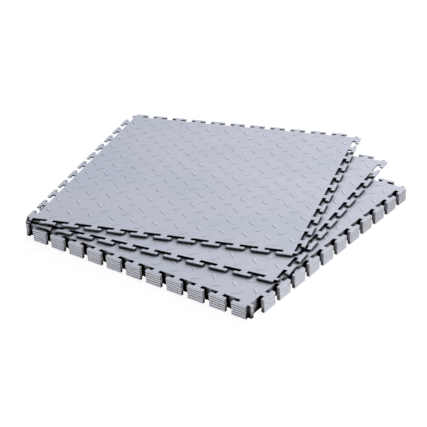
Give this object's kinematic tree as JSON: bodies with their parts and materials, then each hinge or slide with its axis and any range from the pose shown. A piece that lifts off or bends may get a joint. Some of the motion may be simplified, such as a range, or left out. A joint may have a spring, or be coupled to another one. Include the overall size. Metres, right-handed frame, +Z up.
{
  "type": "interlocking anti fatigue floor tile pack",
  "caption": "Pile of square interlocking vinyl floor tiles with T-shaped edge tabs and a raised tread-plate surface, the upper ones fanned about one corner; cushions a standing area.",
  "frame": {"origin": "centre of the underside of the bottom tile, on the floor", "axes": "+Z up; the sides of the squared tiles run along X and Y, and the fanned tiles turn anticlockwise about +Z"},
  "size_m": [0.6046, 0.5895, 0.0301],
  "materials": {
    "vinyl": "satin moulded flexible vinyl, light cool grey"
  },
  "bodies": {
    "tile_1": {"tile_1": "vinyl"},
    "tile_2": {"tile_2": "vinyl"},
    "tile_3": {"tile_3": "vinyl"},
    "tile_4": {"tile_4": "vinyl"},
    "tile_5": {"tile_5": "vinyl"},
    "tile_6": {"tile_6": "vinyl"},
    "tile_7": {"tile_7": "vinyl"},
    "tile_8": {"tile_8": "vinyl"}
  },
  "joints": [
    {"name": "lift_tile_2", "type": "slide", "parent": "tile_1", "child": "tile_2", "axis": [0, 0, 1], "range_m": [0, 0.08]},
    {"name": "lift_tile_3", "type": "slide", "parent": "tile_2", "child": "tile_3", "axis": [0, 0, 1], "range_m": [0, 0.08]},
    {"name": "lift_tile_4", "type": "slide", "parent": "tile_3", "child": "tile_4", "axis": [0, 0, 1], "range_m": [0, 0.08]},
    {"name": "lift_tile_5", "type": "slide", "parent": "tile_4", "child": "tile_5", "axis": [0, 0, 1], "range_m": [0, 0.08]},
    {"name": "lift_tile_6", "type": "slide", "parent": "tile_5", "child": "tile_6", "axis": [0, 0, 1], "range_m": [0, 0.08]},
    {"name": "fan_tile_7", "type": "hinge", "parent": "tile_6", "child": "tile_7", "pos_m": [-0.2434, -0.2164, 0.0228], "axis": [0, 0, 1], "range_deg": [-9.06, 20.94]},
    {"name": "fan_tile_8", "type": "hinge", "parent": "tile_7", "child": "tile_8", "pos_m": [-0.2434, -0.2164, 0.0266], "axis": [0, 0, 1], "range_deg": [-9.42, 20.58]}
  ]
}
